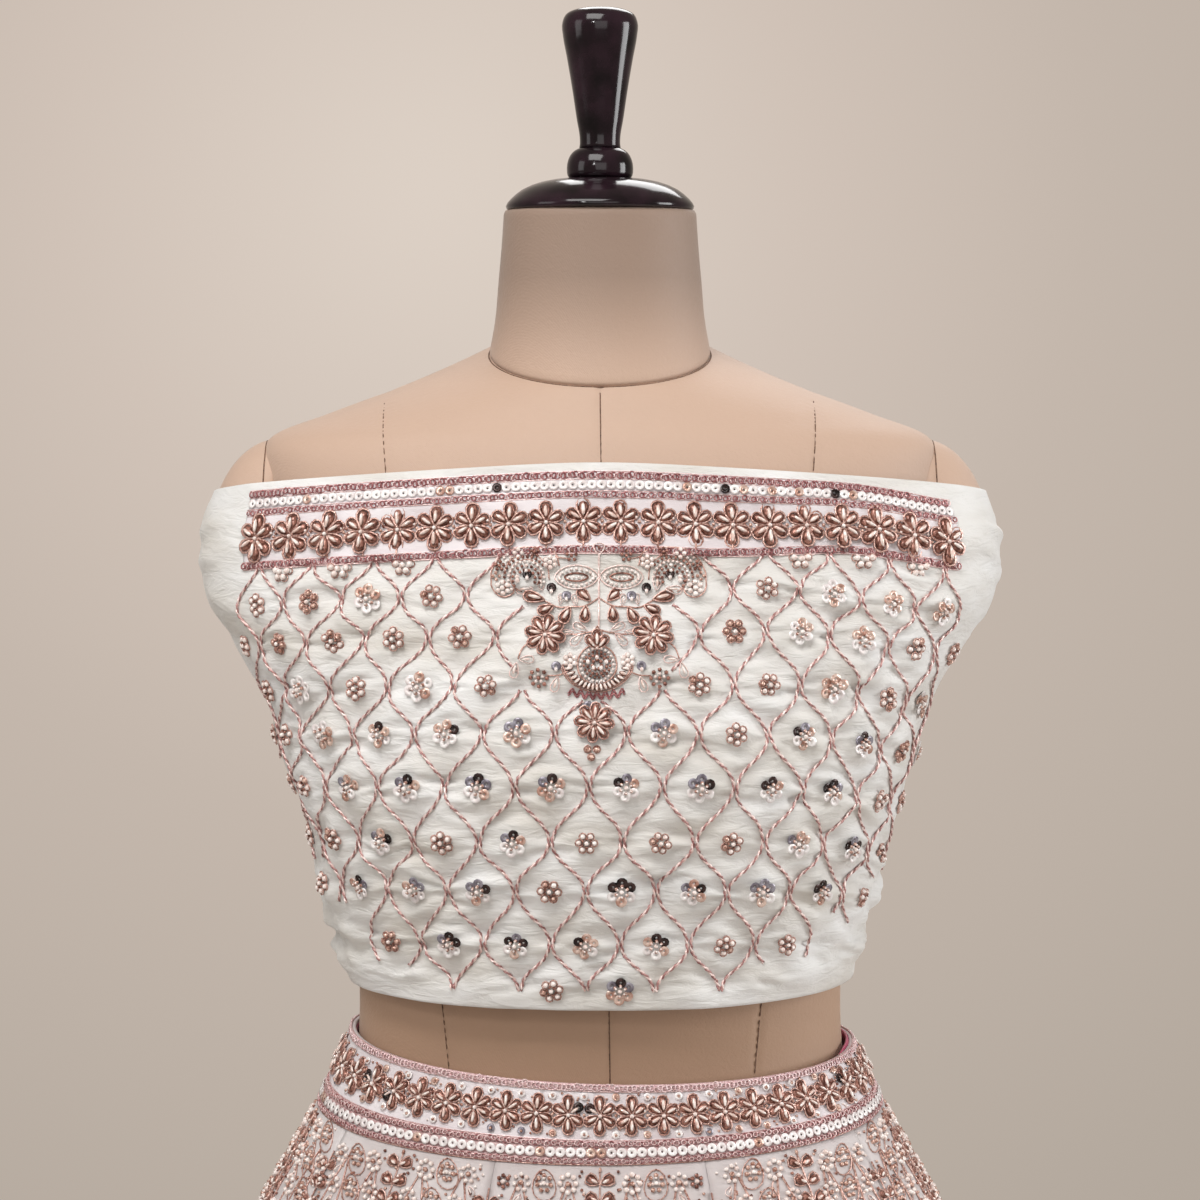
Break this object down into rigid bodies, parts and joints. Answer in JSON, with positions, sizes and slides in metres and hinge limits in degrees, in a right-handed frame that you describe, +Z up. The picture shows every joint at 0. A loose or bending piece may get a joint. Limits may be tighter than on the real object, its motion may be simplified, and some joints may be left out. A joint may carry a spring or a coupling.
{
  "type": "bridal lehenga on dress form",
  "caption": "A wrapped off-shoulder blouse piece and a flared floor-length skirt on a beaded waistband, worn by a limbless dress form on a round stand.",
  "frame": {"origin": "middle of the stand base's underside, on the floor", "axes": "+Z up along the stand pole, -Y the front of the garment, +X to the viewer's right"},
  "size_m": [1.2175, 1.1616, 1.6144],
  "materials": {
    "ivory_cloth": "matt ivory raw silk with fine puckers",
    "border_cloth": "ivory silk closely worked with pale pink thread",
    "pink_satin": "magenta satin lining",
    "rose_cord": "twisted dull rose metallic cord",
    "rose_beads": "lustrous rose-gold pipe and seed beads",
    "pearl_beads": "pearl lustre",
    "sequins": "clear and smoke-grey faceted sequins",
    "form_linen": "beige ribbed linen stretched over padding",
    "gloss_black": "polished near-black lacquer",
    "stand_metal": "dark satin paint"
  },
  "bodies": {
    "root": {"blouse_wrap": "ivory_cloth", "blouse_border": "border_cloth", "waistband": "border_cloth", "waistband_facing": "pink_satin", "skirt_kali_1": "ivory_cloth", "skirt_kali_2": "ivory_cloth", "skirt_kali_3": "ivory_cloth", "skirt_kali_4": "ivory_cloth", "skirt_kali_5": "ivory_cloth", "skirt_kali_6": "ivory_cloth", "skirt_kali_7": "ivory_cloth", "skirt_kali_8": "ivory_cloth", "skirt_kali_9": "ivory_cloth", "form_torso": "form_linen", "form_neck": "form_linen", "form_arm_cap_left": "form_linen", "form_arm_cap_right": "form_linen", "form_dish": "gloss_black", "form_collar": "gloss_black", "form_handle": "gloss_black", "stand_pole": "stand_metal", "stand_base": "stand_metal"}
  },
  "joints": []
}
